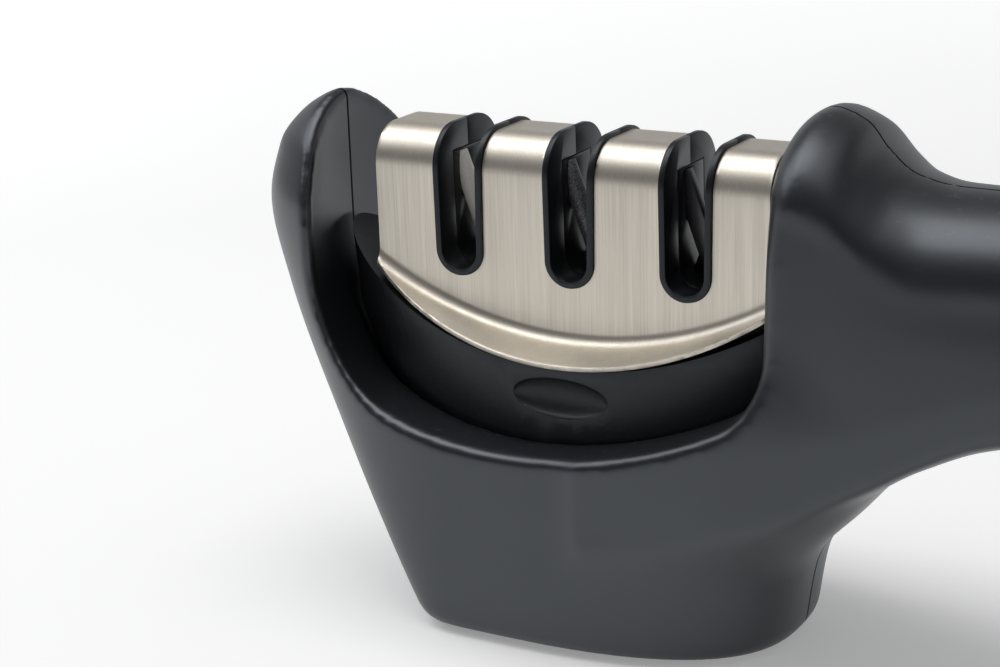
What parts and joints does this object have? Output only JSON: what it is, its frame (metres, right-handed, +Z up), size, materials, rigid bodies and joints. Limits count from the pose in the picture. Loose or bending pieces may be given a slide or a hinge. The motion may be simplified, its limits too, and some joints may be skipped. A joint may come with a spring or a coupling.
{
  "type": "pull through knife sharpener",
  "caption": "Black bench knife sharpener with a brushed steel head of pull-through slots, set in a cradle between a nose tower and a long moulded handle.",
  "frame": {"origin": "on the rest face of the non-slip pad, directly below the middle of the middle slot", "axes": "+X from the nose tower towards the handle's end, +Y from the front half of the housing to the rear half, +Z up"},
  "size_m": [0.2093, 0.0448, 0.0742],
  "materials": {
    "housing_plastic": "satin",
    "head_plastic": "fine grain",
    "core_plastic": "satin",
    "foot_plastic": "matte",
    "cover_steel": "brushed",
    "screw_steel": "polished",
    "ballast_steel": "plain",
    "pad_rubber": "matte",
    "ceramic_white": "fine ground",
    "diamond_grit": "sparkling grit",
    "carbide_grey": "ground"
  },
  "bodies": {
    "base": {"housing_front": "housing_plastic", "housing_rear": "housing_plastic", "foot_plate": "foot_plastic", "foot_screws": "screw_steel", "nonslip_pad": "pad_rubber", "ballast_plate": "ballast_steel"},
    "head": {"head_body": "head_plastic", "head_floor": "head_plastic", "head_screws": "screw_steel", "core_front": "core_plastic", "core_rear": "core_plastic", "core_screws": "screw_steel", "steel_cover": "cover_steel", "stage_1_carrier": "core_plastic", "stage_1_left": "ceramic_white", "stage_1_right": "ceramic_white", "stage_2_carrier": "core_plastic", "stage_2_left": "diamond_grit", "stage_2_right": "diamond_grit", "stage_3_carrier": "core_plastic", "stage_3_left": "carbide_grey", "stage_3_right": "carbide_grey"}
  },
  "joints": [
    {"name": "head_lift", "type": "slide", "parent": "base", "child": "head", "axis": [0, 0, 1], "range_m": [0, 0.08]}
  ]
}
